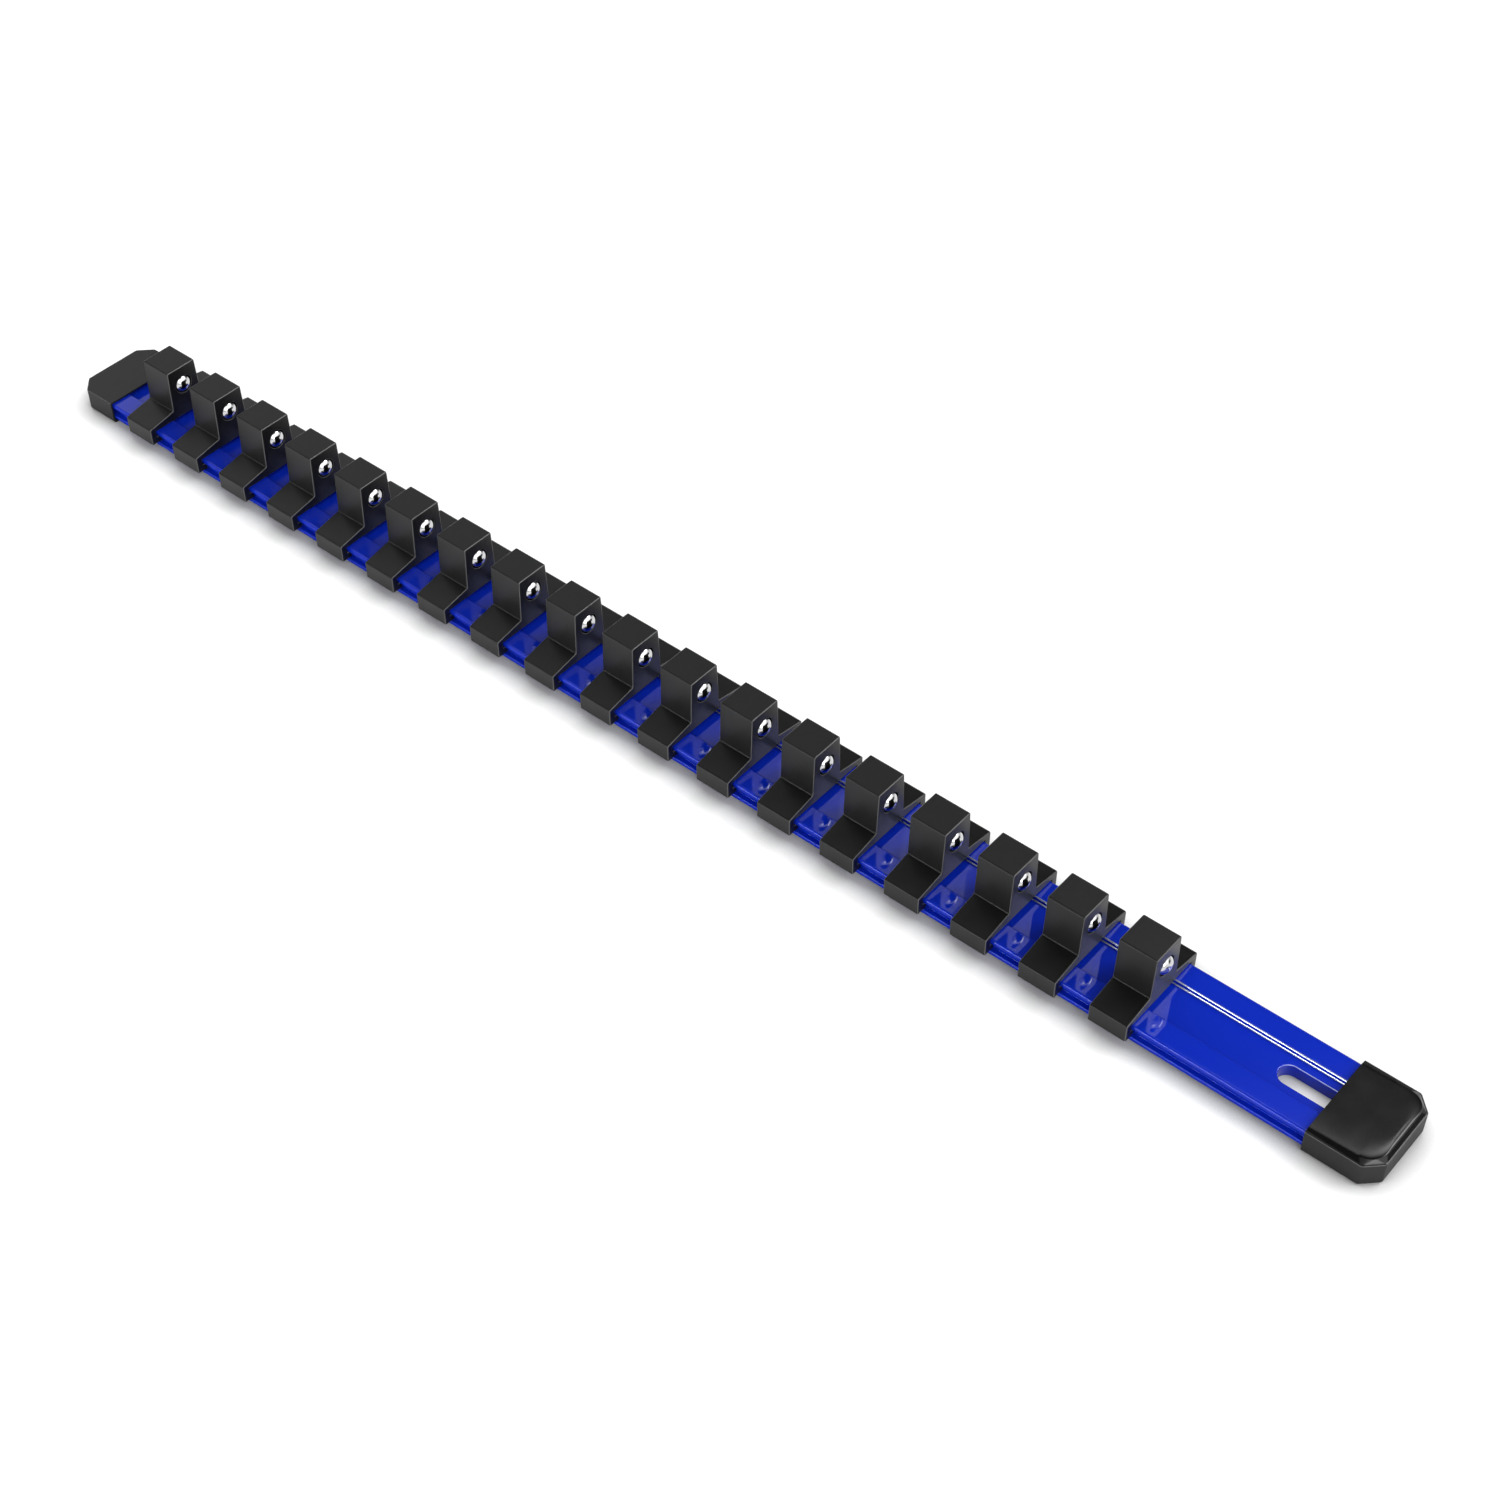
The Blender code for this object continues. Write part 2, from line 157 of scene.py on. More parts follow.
# Noises: stretch along the axes, scale in cycles per metre, and octaves; then the range of noise
EVENLY = (1.0, 1.0, 1.0)
DRAWN_LINES = ((0.02, 1.0, 1.0), 9000.0, 3.0)
ANODISED_GRAIN = (EVENLY, 5000.0, 2.0)
MOULDED_GRAIN = (EVENLY, 3500.0, 3.0)
MOULDED_CLOUD = (EVENLY, 160.0, 3.0)
STEEL_MARKS = ((1.0, 1.0, 0.15), 2600.0, 4.0)
WIRE_MARKS = (EVENLY, 4000.0, 3.0)
NOISE_RANGE = (0.3, 0.7)

# Which edges get the painted highlights and the worn metal, by n squared times (1 - n squared)
# of its normal, which is 0 on flat faces
EDGE_SHARE_RANGE = (0.06, 0.20)

# Blue anodised aluminium, and the clear skin over it
BLUE_SHADES = ((0.0030, 0.020, 0.40), (0.0034, 0.022, 0.43))
BLUE_METALLIC = 0.2
BLUE_ROUGHNESS = (0.40, 0.50)
DRAWN_LINE_HEIGHT = 0.000001
SKIN_IOR = 1.55
SKIN_ROUGHNESS = 0.02
SKIN_ON_TOP = 1.0
SKIN_ON_SIDES = 0.28

# The worn metal of the channel's edges, with a painted highlight: its near-white shade stands only
# on the channel's far wall, where the light catches the edges. Then what its polish takes off the
# roughness, and how far from the far wall it shows
BARE_HIGHLIGHT_SHADE = (0.80, 0.86, 0.98)
BARE_METALLIC = 0.95
BARE_POLISH = 0.2
BARE_HIGHLIGHT_REACH = 0.0058

# Black mouldings: grey level, roughness of the top, of the ends and of the sides, specular level.
# A face is a top from where its normal's Z, squared, reaches TOP_FACE_FROM.
CLIP_PLASTIC = (0.0045, (0.32, 0.33, 0.38), 0.27)
CAP_PLASTIC = (0.0035, (0.20, 0.60, 0.60), 0.36)
TOP_FACE_FROM = 0.4
CLOUD_LEVEL_SPREAD = 0.08
CLOUD_ROUGHNESS_SPREAD = 0.02
MOULDED_GRAIN_HEIGHT = 0.000004
# The grey of the painted highlight on the mouldings' rounded edges and creases
EDGE_HIGHLIGHT_LEVEL = 0.08

# Bare steels: the roughness and the shades that their marks vary between
STEEL_ROUGHNESS = (0.03, 0.08)
STEEL_SHADES = ((0.53, 0.53, 0.54), (0.59, 0.59, 0.60))
WIRE_ROUGHNESS = (0.24, 0.38)
WIRE_SHADES = ((0.50, 0.50, 0.51), (0.60, 0.60, 0.61))

# The floor, and the light that it adds for the picture. That light grows from none to all between
# the CONTACT_SHARES of a half sphere over the floor that the object leaves open, so that near the
# object it paints a contact shadow. The half sphere leans along CONTACT_LEAN and is CONTACT_REACH
# in radius.
WHITE = (1.0, 1.0, 1.0)
FLOOR_REACH = 6.0
FLOOR_LEVEL = 0.45
FLOOR_LIFT = 0.67
CONTACT_SAMPLES = 8
CONTACT_LEAN = (0.0, 0.37, 0.93)
CONTACT_REACH = 0.013
CONTACT_SHARES = (0.50, 0.93)

# A pool of light painted on the floor under the hanging slot, for the light that falls through it:
# axis, middle and reach
SLOT_POOL = (("X", 0.226, 0.018), ("Y", 0.0012, 0.0050))
SLOT_POOL_LIFT = 0.55

# The studio's light by height over the horizon: (degrees, radiance)
SKY_BY_HEIGHT = (
    (0, 0.75), (15, 0.95), (30, 1.05), (45, 1.25), (52, 1.45), (57, 1.05), (63, 0.17), (69, 0.01),
)

# Soft patches of the studio: (azimuth, height, full within, gone beyond, all degrees; change share)
SKY_PATCHES = (
    (10, 36, 22, 42, 0.7),
    (54, 46, 7, 16, 5.2),
    (-45, 34, 8, 24, 1.2),
    (235, 47, 20, 32, -0.95),
    (135, 40, 8, 24, -0.35),
    (116, 50.5, 4.3, 6.0, -0.95),
    (103, 60, 5, 11, 6.5),
    (98, 20, 20, 36, -0.92),
    (250, 9, 8, 16, 9.5),
    (-27, 20, 8, 17, 2.4),
    (36, 7, 9, 19, -0.9),
)

# The key light
KEY_STRENGTH = 0.12
KEY_SPREAD = math.radians(30)
KEY_FROM = Vector((0.105, -0.393, 0.914))

# The photograph's camera
CAMERA_PLACE = Vector((0.37337, -0.39742, 0.53740))
CAMERA_FORWARD = Vector((-0.454625, 0.533652, -0.713114))
CAMERA_RIGHT = Vector((0.763951, 0.645261, -0.004160))
CAMERA_LENS = 60.5305
CAMERA_SENSOR = 36.0
CAMERA_NEAREST = 0.01
CAMERA_FARTHEST = 50.0


def rounded_outline(corners):
    """An outline's points, from corners (first, second, radius): a radius above 0 gives an arc."""
    points = []
    for index, (first, second, radius) in enumerate(corners):
        here = Vector((first, second))
        if not radius:
            points.append(here)
            continue
        before = (Vector(corners[index - 1][:2]) - here).normalized()
        after = (Vector(corners[(index + 1) % len(corners)][:2]) - here).normalized()
        half_angle = before.angle(after) / 2
        centre = here + (before + after).normalized() * radius / math.sin(half_angle)
        start = here + before * radius / math.tan(half_angle) - centre
        turn = math.pi - 2 * half_angle
        if before.x * after.y - before.y * after.x > 0:
            turn = -turn
        for step in range(ARC_STEPS + 1):
            angle = turn * step / ARC_STEPS
            points.append(centre + Matrix.Rotation(angle, 2) @ start)
    return points


def mirrored(corners):
    """Completes an outline of (first, second, ...) corners with its mirror image in first = 0."""
    return corners + [(-first, *others) for first, *others in reversed(corners)]


def quarter_turn(steps, first=0):
    """The angles from one end of a quarter circle to the other."""
    return [math.pi / 2 * step / steps for step in range(first, steps + 1)]


def between(low, high, share):
    return low + (high - low) * share


def mesh_from(name, shape):
    bmesh.ops.recalc_face_normals(shape, faces=shape.faces)
    mesh = bpy.data.meshes.new(name)
    shape.to_mesh(mesh)
    shape.free()
    return mesh


def extruded(name, points, direction):
    """Closed mesh from an outline of 3-D points, extruded by a vector."""
    shape = bmesh.new()
    face = shape.faces.new([shape.verts.new(point) for point in points])
    grown = bmesh.ops.extrude_face_region(shape, geom=[face])
    moved = [part for part in grown["geom"] if isinstance(part, bmesh.types.BMVert)]
    bmesh.ops.translate(shape, verts=moved, vec=direction)
    return mesh_from(name, shape)


def turned_along_x(name, profile, sides, height=0):
    """Turns a profile of (x, radius) points about an axis along X at a height.

    The profile starts and ends on the axis.
    """
    shape = bmesh.new()
    rings = []
    for along, radius in profile:
        count = sides if radius else 1
        rings.append([
            shape.verts.new((
                along,
                radius * math.cos(math.tau * (side + 0.5) / sides),
                height + radius * math.sin(math.tau * (side + 0.5) / sides),
            ))
            for side in range(count)
        ])
    for near, far in zip(rings, rings[1:]):
        for side in range(sides):
            corners = []
            for ring, index in ((near, side), (near, side + 1), (far, side + 1), (far, side)):
                vertex = ring[index % len(ring)]
                if vertex not in corners:
                    corners.append(vertex)
            shape.faces.new(corners)
    return mesh_from(name, shape)


def stacked_rings(name, levels):
    """A closed mesh through rings of points that all have the same count."""
    shape = bmesh.new()
    rings = [[shape.verts.new(point) for point in level] for level in levels]
    count = len(rings[0])
    for near, far in zip(rings, rings[1:]):
        for index in range(count):
            following = (index + 1) % count
            shape.faces.new((near[index], near[following], far[following], far[index]))
    shape.faces.new(rings[0])
    shape.faces.new(rings[-1])
    return mesh_from(name, shape)


def new_object(name, data):
    made = bpy.data.objects.new(name, data)
    bpy.context.scene.collection.objects.link(made)
    return made


def evaluated_mesh(holder):
    """The mesh of an object with its modifiers, in place of the object."""
    state = bpy.context.evaluated_depsgraph_get()
    mesh = bpy.data.meshes.new_from_object(holder.evaluated_get(state))
    mesh.name = holder.data.name
    bpy.data.objects.remove(holder, do_unlink=True)
    return mesh


def cut(mesh, cutter):
    solid = new_object("blank", mesh)
    tool = new_object("cutter", cutter)
    boolean = solid.modifiers.new("cut", "BOOLEAN")
    boolean.operation = "DIFFERENCE"
    boolean.solver = "EXACT"
    boolean.object = tool
    made = evaluated_mesh(solid)
    bpy.data.objects.remove(tool, do_unlink=True)
    return made


def round_edges(mesh, radius, steps, wanted):
    """Rounds the edges that wanted(edge) picks."""
    shape = bmesh.new()
    shape.from_mesh(mesh)
    picked = [edge for edge in shape.edges if wanted(edge)]
    bmesh.ops.bevel(
        shape, geom=picked, offset=radius, segments=steps, profile=ROUND_PROFILE,
        affect="EDGES", clamp_overlap=True, loop_slide=True,
    )
    shape.to_mesh(mesh)
    shape.free()


def is_sharp(edge):
    return edge.calc_face_angle(0) > SHARP_ANGLE


def lies_at(edge, axis, *places):
    """Whether the whole edge lies at one of some places along an axis."""
    return any(
        all(abs(vertex.co[axis] - place) < SAME_PLACE for vertex in edge.verts)
        for place in places
    )


def runs_along_x(edge):
    first, second = (vertex.co for vertex in edge.verts)
    return abs((second - first).normalized().x) > ALONG_X_COSINE


def finished(mesh, finish):
    """Smooth shading that keeps flat faces flat, and the mesh's one material."""
    mesh.shade_smooth()
    mesh.set_sharp_from_angle(angle=SHARP_ANGLE)
    holder = new_object("holder", mesh)
    normals = holder.modifiers.new("normals", "WEIGHTED_NORMAL")
    normals.mode = "FACE_AREA"
    normals.keep_sharp = True
    made = evaluated_mesh(holder)
    made.materials.clear()
    made.materials.append(finish)
    return made


def smooth(mesh, finish):
    """Smooth shading all over, and the mesh's one material."""
    mesh.shade_smooth()
    mesh.materials.append(finish)
    return mesh


def dress(name, mesh, place, body, nodes):
    """Adds a piece that rides on a body and stands for CAD nodes."""
    piece = new_object(name, mesh)
    piece.location = place
    bpy.context.view_layer.update()
    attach(piece, body)
    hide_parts(*nodes)
    return piece


def rail_outline():
    edge = RAIL_HALF_WIDTH
    web = edge - GROOVE_DEPTH
    channel = CHANNEL_WIDTH / 2
    groove_bottom = RAIL_BOTTOM + FLANGE_THICKNESS
    return rounded_outline(mirrored([
        (channel, CHANNEL_FLOOR, CHANNEL_EDGE_RADIUS),
        (channel, RAIL_TOP, CHANNEL_EDGE_RADIUS),
        (edge, RAIL_TOP, LAND_EDGE_RADIUS),
        (edge, GROOVE_TOP, 0),
        (web, GROOVE_TOP, 0),
        (web, groove_bottom, 0),
        (edge, groove_bottom, FLANGE_EDGE_RADIUS),
        (edge, RAIL_BOTTOM, FLANGE_EDGE_RADIUS),
    ]))


def slot_cutter():
    radius = SLOT_WIDTH / 2
    right = RAIL_HIGH.x - SLOT_TO_RAIL_END - radius
    left = right - SLOT_LENGTH + SLOT_WIDTH
    bottom = RAIL_BOTTOM - CUT_OVERRUN
    points = []
    for centre, first_angle in ((right, -math.pi / 2), (left, math.pi / 2)):
        for step in range(SLOT_END_STEPS + 1):
            angle = first_angle + math.pi * step / SLOT_END_STEPS
            points.append((centre + radius * math.cos(angle), radius * math.sin(angle), bottom))
    return extruded("slot", points, Vector((0, 0, RAIL_TOP + CUT_OVERRUN - bottom)))


def is_rail_end(edge):
    return lies_at(edge, X_AXIS, RAIL_LOW.x, RAIL_HIGH.x)


def is_slot_rim(edge):
    slot_reach = SLOT_WIDTH / 2 + CUT_OVERRUN
    inside = all(abs(vertex.co.y) < slot_reach for vertex in edge.verts)
    on_face = lies_at(edge, Z_AXIS, CHANNEL_FLOOR, RAIL_BOTTOM)
    return on_face and inside and is_sharp(edge) and not is_rail_end(edge)


def is_rail_corner(edge):
    return is_sharp(edge) and (runs_along_x(edge) or is_rail_end(edge))


def make_rail(finish):
    outline = [(RAIL_LOW.x, point.x, point.y) for point in rail_outline()]
    bar = extruded("socket_rail", outline, Vector((RAIL_HIGH.x - RAIL_LOW.x, 0, 0)))
    mesh = cut(bar, slot_cutter())
    round_edges(mesh, SLOT_RIM_RADIUS, SLOT_RIM_STEPS, is_slot_rim)
    round_edges(mesh, RAIL_FINE_RADIUS, RAIL_FINE_STEPS, is_rail_corner)
    mesh = finished(mesh, finish)
    dress("rail_body", mesh, (0, 0, 0), "rail", ["rail"])


def clip_outline():
    leg_outer = CLIP_HALF_WIDTH
    leg_inner = leg_outer - LEG_THICKNESS
    hook_inner = RAIL_HALF_WIDTH - GROOVE_DEPTH + CLEARANCE
    hook_top = GROOVE_TOP - CLEARANCE
    return rounded_outline(mirrored([
        (POST_TOP_WIDTH / 2, POST_TOP, POST_EDGE_RADIUS),
        (POST_FOOT_WIDTH / 2, SEAT + WING_ROOT_THICKNESS, POST_FOOT_RADIUS),
        (leg_outer, SEAT + WING_TIP_THICKNESS, WING_EDGE_RADIUS),
        (leg_outer, CLIP_LOW.z, LEG_EDGE_RADIUS),
        (hook_inner, CLIP_LOW.z, 0),
        (hook_inner, hook_top, 0),
        (leg_inner, hook_top, 0),
        (leg_inner, SEAT, 0),
    ]))


def bore_cutter():
    """The blind bore, its lip and the rounded rim of the lip."""
    lip_depth = BALL_RADIUS - BALL_PROTRUSION - BORE_LIP
    lip_radius = math.sqrt(BALL_RADIUS ** 2 - lip_depth ** 2) + CLEARANCE
    bore_radius = BALL_RADIUS + CLEARANCE
    rim = [
        (
            CLIP_FACE - BORE_RIM_RADIUS * (1 - math.cos(angle)),
            lip_radius + BORE_RIM_RADIUS * (1 - math.sin(angle)),
        )
        for angle in quarter_turn(ARC_STEPS)
    ]
    profile = [
        (CLIP_FACE + CUT_OVERRUN, 0),
        (CLIP_FACE + CUT_OVERRUN, lip_radius + BORE_RIM_RADIUS),
        *rim,
        (CLIP_FACE - BORE_LIP, lip_radius),
        (CLIP_FACE - BORE_LIP, bore_radius),
        (BORE_END_X, bore_radius),
        (BORE_END_X, 0),
    ]
    return turned_along_x("bore", profile, BORE_SIDES, BALL_Z)


def is_clip_face(edge):
    return lies_at(edge, X_AXIS, CLIP_FACE, -CLIP_FACE)


def clip_mesh(finish):
    outline = [(-CLIP_FACE, point.x, point.y) for point in clip_outline()]
    block = extruded("clip", outline, Vector((CLIP_LENGTH, 0, 0)))
    round_edges(block, CLIP_FACE_RADIUS, CLIP_FACE_STEPS, is_clip_face)
    return finished(cut(block, bore_cutter()), finish)


def ball_mesh(finish):
    profile = []
    for ring in range(BALL_RINGS + 1):
        angle = math.pi * ring / BALL_RINGS
        radius = BALL_RADIUS * math.sin(angle) if 0 < ring < BALL_RINGS else 0
        profile.append((BALL_RADIUS * math.cos(angle), radius))
    return smooth(turned_along_x("ball", profile, BALL_SIDES), finish)


def spring_mesh(finish):
    """A compression spring of round wire, from x = 0 towards the ball."""
    rise = SPRING_LENGTH - SPRING_WIRE
    turns = rise / (SPRING_WIRE + SPRING_COIL_GAP)
    steps = round(turns * SPRING_STEPS_PER_TURN)
    coil_radius = (SPRING_DIAMETER - SPRING_WIRE) / 2
    wire_radius = SPRING_WIRE / 2
    along = Vector((1, 0, 0))
    levels = []
    for step in range(steps + 1):
        angle = math.tau * turns * step / steps
        outward = Vector((0, math.cos(angle), math.sin(angle)))
        centre = outward * coil_radius + along * (wire_radius + rise * step / steps)
        level = []
        for side in range(SPRING_SIDES):
            turn = math.tau * side / SPRING_SIDES
            offset = outward * math.cos(turn) + along * math.sin(turn)
            level.append(centre + offset * wire_radius)
        levels.append(level)
    return smooth(stacked_rings("spring", levels), finish)


def make_clips(plastic, steel, wire):
    clip = clip_mesh(plastic)
    ball = ball_mesh(steel)
    spring = spring_mesh(wire)
    for index in range(CLIP_COUNT):
        number = f"{index + 1:02d}"
        body = "clip_" + number
        low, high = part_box(body)
        x = (low.x + high.x) / 2
        dress("clip_body_" + number, clip, (x, 0, 0), body, [body])
        dress("steel_ball_" + number, ball, (x + BALL_X, 0, BALL_Z), "ball_" + number,
              ["ball_" + number])
        fixed_end = (x + BORE_END_X + CLEARANCE, 0, BALL_Z)
        coil = dress("coil_spring_" + number, spring, fixed_end, body,
                     ["spring_" + number])
        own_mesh(coil)


def cap_plan(end_x, half_width, corner, radius):
    """One level of a cap in plan, from the mouth at x = 0 round the outer end and back.

    Each outer corner is a chamfer, and the radius rounds both ends of it.
    """
    half = [
        (half_width, 0, 0),
        (half_width, end_x - corner, radius),
        (half_width - corner, end_x, radius),
    ]
    return rounded_outline([(along, across, turn) for across, along, turn in mirrored(half)])


def cap_body_levels(end_x):
    """A cap's level rings from its rounded foot up to its crease."""
    foot = [
        (CAP_FOOT_RADIUS * (1 - math.cos(angle)), CAP_FOOT_RADIUS * (1 - math.sin(angle)))
        for angle in quarter_turn(ARC_STEPS)
    ]
    crease = [
        (
            CAP_TOP - CAP_CREASE_RADIUS * (1 - math.sin(angle)),
            CAP_CREASE_RADIUS * (1 - math.cos(angle)),
        )
        for angle in quarter_turn(ARC_STEPS)
    ]
    rings = []
    for height, inset in foot + crease:
        corner = CAP_CORNER_CHAMFER - inset * CHAMFER_TO_INSET_SHARE
        outline = cap_plan(end_x - inset, CAP_HALF_WIDTH - inset, corner, CAP_CHAMFER_END_RADIUS)
        rings.append([(point.x, point.y, height) for point in outline])
    return rings


def crown_levels(end_x):
    """The crown's rings: a flank that turns the chamfers into round corners, then the dome."""
    round_corner = CROWN_CORNER_RADIUS * CHAMFER_TO_RADIUS_SHARE
    levels = []
    for step in range(1, CROWN_STEPS + 1):
        share = step / CROWN_STEPS
        side = between(CAP_CREASE_RADIUS, CROWN_SIDE_INSET, share)
        end = between(CAP_CREASE_RADIUS, CROWN_END_INSET, share)
        corner = between(CAP_CORNER_CHAMFER, round_corner, share)
        radius = between(CAP_CHAMFER_END_RADIUS, CROWN_CORNER_RADIUS, share)
        levels.append((CROWN_RIM_HEIGHT * share, side, end, corner, radius))
    for angle in quarter_turn(CROWN_STEPS, first=1):
        rise = between(CROWN_RIM_HEIGHT, CROWN_HEIGHT, math.sin(angle))
        side = CROWN_DOME_SIDE_INSET * (1 - math.cos(angle))
        end = CROWN_DOME_END_INSET * (1 - math.cos(angle))
        radius = CROWN_CORNER_RADIUS - end
        corner = radius * CHAMFER_TO_RADIUS_SHARE
        levels.append((rise, CROWN_SIDE_INSET + side, CROWN_END_INSET + end, corner, radius))
    rings = []
    for rise, side, end, corner, radius in levels:
        ring = []
        for point in cap_plan(end_x - end, CAP_HALF_WIDTH - side, corner, radius):
            share = between(CROWN_MOUTH_SHARE, 1, point.x / end_x)
            ring.append((point.x, point.y, CAP_TOP + rise * share))
        rings.append(ring)
    return rings


def pocket_cutter(name, length):
    """The space that a cap leaves for the rail's end."""
    pocket_end = length - CAP_END_WALL
    pocket_half = CAP_HALF_WIDTH - CAP_SIDE_WALL
    corner = CAP_CORNER_CHAMFER + CAP_SIDE_WALL * math.sqrt(2) - CAP_SIDE_WALL - CAP_END_WALL
    outline = mirrored([
        (pocket_half, -CUT_OVERRUN),
        (pocket_half, pocket_end - corner),
        (pocket_half - corner, pocket_end),
    ])
    points = [(along, across, CAP_FLOOR) for across, along in outline]
    return extruded(name + "_pocket", points, Vector((0, 0, SEAT - CAP_FLOOR)))


def cap_mesh(name, length, has_crown, finish):
    """A cap whose mouth is at x = 0 and whose closed end points along +X."""
    levels = cap_body_levels(length)
    if has_crown:
        levels += crown_levels(length)
    return finished(cut(stacked_rings(name, levels), pocket_cutter(name, length)), finish)


def make_caps(finish):
    low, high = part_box("right_end_cap")
    mesh = cap_mesh("right_cap", high.x - low.x, True, finish)
    dress("right_cap", mesh, (low.x, 0, 0),
          "right_end_cap", ["right_end_cap"])
    low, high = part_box("left_end_cap")
    mesh = cap_mesh("left_cap", high.x - low.x, False, finish)
    mesh.transform(Matrix.Rotation(math.pi, 4, "Z"))
    dress("left_cap", mesh, (high.x, 0, 0),
          "left_end_cap", ["left_end_cap"])


class Nodes:
    """Adds nodes to a material or a world and connects them."""

    def __init__(self, owner):
        owner.use_nodes = True
        self.tree = owner.node_tree
        self.coordinates = self.add("ShaderNodeTexCoord")

    def add(self, kind, **values):
        node = self.tree.nodes.new(kind)
        for key, value in values.items():
            setattr(node, key, value)
        return node

    def give(self, value, socket):
        """A node's input gets a link, a number, a vector or a colour."""
        if isinstance(value, bpy.types.NodeSocket):
            self.tree.links.new(value, socket)
        elif socket.type == "RGBA":
            socket.default_value = (*value, 1.0)
        else:
            socket.default_value = value

    def calculated(self, operation, first, second=0.0):
        node = self.add("ShaderNodeMath", operation=operation)
        self.give(first, node.inputs[0])
        self.give(second, node.inputs[1])
        return node.outputs["Value"]

    def squared(self, value):
        return self.calculated("MULTIPLY", value, value)

    def mapped(self, source, from_low, from_high, to_low=0.0, to_high=1.0, kind="LINEAR"):
        """A value mapped from one range to another and kept inside it."""
        made = self.add("ShaderNodeMapRange", interpolation_type=kind)
        self.give(source, made.inputs["Value"])
        self.give(from_low, made.inputs["From Min"])
        self.give(from_high, made.inputs["From Max"])
        self.give(to_low, made.inputs["To Min"])
        self.give(to_high, made.inputs["To Max"])
        return made.outputs["Result"]

    def part(self, vector, axis):
        """One number of a vector that the coordinates' node gives."""
        split = self.add("ShaderNodeSeparateXYZ")
        self.give(self.coordinates.outputs[vector], split.inputs["Vector"])
        return split.outputs[axis]

    def nearness(self, axis, place, reach, kind="LINEAR"):
        """1 at a place along an axis, which falls to 0 over the reach on both sides of it."""
        away = self.calculated("SUBTRACT", self.part("Object", axis), place)
        return self.mapped(self.calculated("ABSOLUTE", away), reach, 0.0, kind=kind)


class Shading(Nodes):
    """A new material, shaded in the piece's own frame."""

    def __init__(self, name):
        self.material = bpy.data.materials.new(name)
        super().__init__(self.material)
        self.shader = self.tree.nodes["Principled BSDF"]

    def set(self, socket, value):
        """The shader's own input gets a link, or a value that is the same all over."""
        self.give(value, self.shader.inputs[socket])

    def noise(self, stretch, scale, detail):
        """Noise in the piece's own coordinates."""
        mapping = self.add("ShaderNodeMapping")
        self.give(stretch, mapping.inputs["Scale"])
        self.give(self.coordinates.outputs["Object"], mapping.inputs["Vector"])
        noise = self.add("ShaderNodeTexNoise")
        self.give(scale, noise.inputs["Scale"])
        self.give(detail, noise.inputs["Detail"])
        self.give(mapping.outputs["Vector"], noise.inputs["Vector"])
        return noise.outputs["Fac"]

    def ranged(self, noise, low, high):
        """Noise mapped to a range of values."""
        return self.mapped(noise, *NOISE_RANGE, low, high)

    def mixed(self, share, first, second):
        """A colour between two colours."""
        mix = self.add("ShaderNodeMix", data_type="RGBA")
        self.give(share, mix.inputs["Factor"])
        first_socket, second_socket = (entry for entry in mix.inputs if entry.type == "RGBA")
        self.give(first, first_socket)
        self.give(second, second_socket)
        return next(entry for entry in mix.outputs if entry.type == "RGBA")

    def varied(self, noise, shades):
        """A colour that varies between two shades with the noise."""
        return self.mixed(self.ranged(noise, 0.0, 1.0), *shades)

    def edge_share(self, axis):
        """1 on the rounded edges of the faces across an axis, and 0 on all flat faces."""
        square = self.squared(self.part("Normal", axis))
        rest = self.calculated("SUBTRACT", 1.0, square)
        return self.mapped(self.calculated("MULTIPLY", square, rest), *EDGE_SHARE_RANGE)

    def bump(self, source, height):
        bump = self.add("ShaderNodeBump")
        self.give(height, bump.inputs["Distance"])
        self.give(source, bump.inputs["Height"])
        self.set("Normal", bump.outputs["Normal"])


def grey(level):
    return (level, level, level)


def blue_anodised():
    """Deep blue under a clear skin, which is thinner on the sides; the channel's far wall has worn
    edges with a painted highlight.
    """
    made = Shading("blue_anodised_aluminium")
    made.set("Specular IOR Level", 0.0)
    made.set("Coat Roughness", SKIN_ROUGHNESS)
    made.set("Coat IOR", SKIN_IOR)
    sideways = made.squared(made.part("Normal", "Y"))
    made.set("Coat Weight", made.mapped(sideways, 0.0, 1.0, SKIN_ON_TOP, SKIN_ON_SIDES))
    # Worn metal with a painted highlight, on the edges of the channel's far wall only
    at_far_wall = made.nearness("Y", CHANNEL_WIDTH / 2, BARE_HIGHLIGHT_REACH)
    bare_and_highlight = made.calculated("MULTIPLY", made.edge_share("Z"), at_far_wall)
    blue = made.varied(made.noise(*ANODISED_GRAIN), BLUE_SHADES)
    made.set("Base Color", made.mixed(bare_and_highlight, blue, BARE_HIGHLIGHT_SHADE))
    made.set("Metallic", made.mapped(bare_and_highlight, 0.0, 1.0, BLUE_METALLIC, BARE_METALLIC))
    lines = made.noise(*DRAWN_LINES)
    rough = made.ranged(lines, *BLUE_ROUGHNESS)
    polish = made.calculated("MULTIPLY", bare_and_highlight, BARE_POLISH)
    made.set("Roughness", made.calculated("SUBTRACT", rough, polish))
    made.bump(lines, DRAWN_LINE_HEIGHT)
    return made.material


